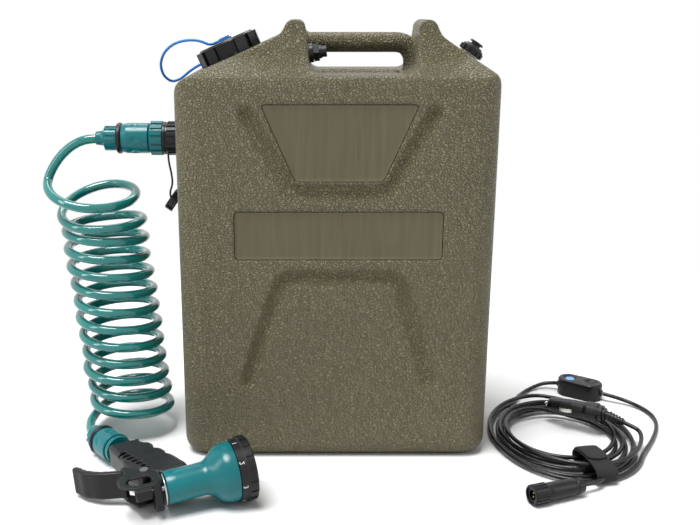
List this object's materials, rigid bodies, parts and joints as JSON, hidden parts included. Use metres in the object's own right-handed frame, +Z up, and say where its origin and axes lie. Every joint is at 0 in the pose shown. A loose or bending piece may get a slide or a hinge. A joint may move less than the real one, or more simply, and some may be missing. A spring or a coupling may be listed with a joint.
{
  "type": "portable shower",
  "caption": "Camp shower: jerry can with handle, screw cap, vent and inner pump, coil hose with click couplings, trigger spray gun and coiled 12 V lead.",
  "frame": {"origin": "middle of the flat face that the can stands on", "axes": "+Z up along the can, +X from the hose side to the lead side, +Y from the front to the back of the can"},
  "size_m": [0.7361, 0.3521, 0.4855],
  "materials": {
    "can_plastic": "blow-moulded green-grey polyethylene with a fine grain",
    "cap_plastic": "moulded black, satin",
    "strap_rubber": "blue soft plastic",
    "seal_rubber": "black rubber",
    "clear_plastic": "milky, smooth",
    "black_plastic": "moulded black",
    "teal_plastic": "moulded teal, satin",
    "hose_plastic": "teal polyurethane tube, glossy",
    "stem_steel": "stainless steel",
    "contact_metal": "nickel plated",
    "pin_brass": "turned brass",
    "cable_rubber": "black cable sheath",
    "tie_fabric": "black hook-and-loop band",
    "button_plastic": "light blue, satin"
  },
  "bodies": {
    "base": {"can_body": "can_plastic", "cap_strap_ring": "strap_rubber", "vent_seal": "clear_plastic", "outlet_washer": "clear_plastic", "outlet_bulkhead": "black_plastic", "outlet_lock_nut": "black_plastic", "outlet_dust_cap": "cable_rubber", "tap_adaptor": "teal_plastic", "hose_lead_in": "hose_plastic", "hose_coil": "hose_plastic", "hose_tail": "hose_plastic", "gun_adaptor": "teal_plastic", "gun_grip": "black_plastic", "gun_core": "teal_plastic", "gun_barrel": "teal_plastic", "trigger_pin": "stem_steel", "valve_spring": "stem_steel", "socket_body": "black_plastic", "socket_washer": "seal_rubber", "socket_nut": "black_plastic", "pump_casing": "black_plastic", "pump_strainer": "black_plastic", "pump_hose": "clear_plastic", "pump_cable": "cable_rubber", "lead_coil": "cable_rubber", "lead_tie": "tie_fabric", "lead_run_left": "cable_rubber", "lead_run_right": "cable_rubber", "lead_run_plug": "cable_rubber", "lead_run_connector": "cable_rubber", "plug_body": "cap_plastic", "plug_strain_relief": "cap_plastic", "switch_housing": "cap_plastic", "connector_body": "cap_plastic", "connector_pins": "pin_brass"},
    "cap_lift": {"cap_strap": "strap_rubber"},
    "filler_cap": {"filler_cap": "cap_plastic", "filler_cap_seal": "seal_rubber"},
    "vent_collar": {"vent_collar": "black_plastic"},
    "vent_knob": {"vent_knob": "black_plastic"},
    "outlet_swivel": {"outlet_connector_core": "teal_plastic", "outlet_hose_nut": "teal_plastic"},
    "outlet_sleeve": {"outlet_connector_sleeve": "teal_plastic", "outlet_connector_ring": "black_plastic"},
    "gun_swivel": {"gun_connector_core": "teal_plastic", "gun_hose_nut": "teal_plastic"},
    "gun_sleeve": {"gun_connector_sleeve": "teal_plastic", "gun_connector_ring": "black_plastic"},
    "trigger_lever": {"trigger_lever": "black_plastic"},
    "valve_stem": {"valve_stem": "stem_steel", "valve_seal": "seal_rubber"},
    "flow_knob": {"flow_knob": "black_plastic"},
    "nozzle": {"nozzle_dial": "black_plastic", "nozzle_face": "black_plastic"},
    "switch_button": {"switch_button": "button_plastic"},
    "plug_tip": {"plug_tip": "contact_metal"},
    "plug_contact_left": {"plug_contact_left": "contact_metal"},
    "plug_contact_right": {"plug_contact_right": "contact_metal"},
    "connector_nut": {"connector_nut": "cap_plastic"},
    "pump_impeller": {"pump_impeller": "clear_plastic"}
  },
  "joints": [
    {"name": "cap_rise", "type": "slide", "parent": "base", "child": "cap_lift", "axis": [-0.3987, 0, 0.9171], "range_m": [0, 0.00751]},
    {"name": "cap_turn", "type": "hinge", "parent": "cap_lift", "child": "filler_cap", "pos_m": [-0.115, 0, 0.445], "axis": [-0.3987, 0, 0.9171], "range_deg": [0, 540]},
    {"name": "vent_turn", "type": "hinge", "parent": "base", "child": "vent_collar", "pos_m": [0.145, 0, 0.44411], "axis": [0.5707, 0, 0.8211], "range_deg": [0, 90]},
    {"name": "vent_pull", "type": "slide", "parent": "vent_collar", "child": "vent_knob", "axis": [0.5707, 0, 0.8211], "range_m": [0, 0.003]},
    {"name": "outlet_swivel_turn", "type": "hinge", "parent": "base", "child": "outlet_swivel", "pos_m": [-0.209, 0, 0.354], "axis": [-1, 0, 0], "continuous": true},
    {"name": "outlet_sleeve_slide", "type": "slide", "parent": "outlet_swivel", "child": "outlet_sleeve", "axis": [-1, 0, 0], "range_m": [0, 0.0035], "stiffness_N_per_m": 500},
    {"name": "gun_swivel_turn", "type": "hinge", "parent": "base", "child": "gun_swivel", "pos_m": [-0.24534, -0.09922, 0.0186], "axis": [-0.6099, 0.7886, -0.078], "continuous": true},
    {"name": "gun_sleeve_slide", "type": "slide", "parent": "gun_swivel", "child": "gun_sleeve", "axis": [-0.6099, 0.7886, -0.078], "range_m": [0, 0.0035], "stiffness_N_per_m": 500},
    {"name": "trigger_squeeze", "type": "hinge", "parent": "base", "child": "trigger_lever", "pos_m": [-0.19562, -0.19755, 0.02591], "axis": [0.0918, -0.0275, -0.9954], "range_deg": [0, 20], "stiffness_Nm_per_rad": 1},
    {"name": "valve_pull", "type": "slide", "parent": "base", "child": "valve_stem", "axis": [-0.9253, -0.3716, -0.075], "range_m": [0, 0.008]},
    {"name": "flow_turn", "type": "hinge", "parent": "valve_stem", "child": "flow_knob", "pos_m": [-0.1827, -0.2085, 0.0274], "axis": [0.9253, 0.3716, 0.075], "continuous": true},
    {"name": "nozzle_turn", "type": "hinge", "parent": "base", "child": "nozzle", "pos_m": [-0.1827, -0.2085, 0.0274], "axis": [0.9253, 0.3716, 0.075], "continuous": true},
    {"name": "switch_press", "type": "slide", "parent": "base", "child": "switch_button", "axis": [0, 0, -1], "range_m": [0, 0.001], "stiffness_N_per_m": 300},
    {"name": "plug_tip_press", "type": "slide", "parent": "base", "child": "plug_tip", "axis": [0.823, -0.5656, 0.0523], "range_m": [0, 0.003], "stiffness_N_per_m": 300},
    {"name": "plug_left_press", "type": "slide", "parent": "base", "child": "plug_contact_left", "axis": [-0.5664, -0.8241, 0], "range_m": [0, 0.0014], "stiffness_N_per_m": 300},
    {"name": "plug_right_press", "type": "slide", "parent": "base", "child": "plug_contact_right", "axis": [0.5664, 0.8241, 0], "range_m": [0, 0.0014], "stiffness_N_per_m": 300},
    {"name": "connector_nut_turn", "type": "hinge", "parent": "base", "child": "connector_nut", "pos_m": [0.199, -0.19, 0.0111], "axis": [0.9367, 0.3502, 0], "continuous": true},
    {"name": "pump_spin", "type": "hinge", "parent": "base", "child": "pump_impeller", "pos_m": [0.122, 0.047, 0.0033], "axis": [0, 0, 1], "continuous": true}
  ],
  "couplings": [
    {"joint": "cap_rise", "follows": "cap_turn", "m_per_rad": 0.00079577},
    {"joint": "valve_pull", "follows": "trigger_squeeze", "m_per_rad": 0.0229}
  ]
}
